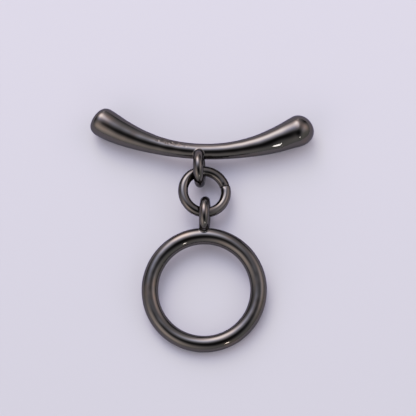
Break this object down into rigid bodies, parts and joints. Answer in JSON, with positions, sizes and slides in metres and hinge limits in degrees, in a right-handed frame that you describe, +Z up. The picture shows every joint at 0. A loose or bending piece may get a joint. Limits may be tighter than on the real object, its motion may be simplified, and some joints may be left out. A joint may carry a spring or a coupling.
{
  "type": "toggle clasp",
  "caption": "Toggle clasp of dark polished metal: a bent bar with rounded ends and a round ring, each with a soldered wire eye, linked by a split jump ring and lying flat.",
  "frame": {"origin": "on the surface that the clasp lies on, under the middle of its outline", "axes": "+Z up, +Y from the round ring towards the bar, +X to the right of the picture"},
  "size_m": [0.0268, 0.0298, 0.0046],
  "materials": {
    "bar_metal": "polished gunmetal plating",
    "link_metal": "polished gunmetal plating",
    "ring_metal": "polished gunmetal plating"
  },
  "bodies": {
    "root": {"toggle_bar": "bar_metal", "jump_ring": "link_metal", "toggle_ring": "ring_metal"}
  },
  "joints": []
}
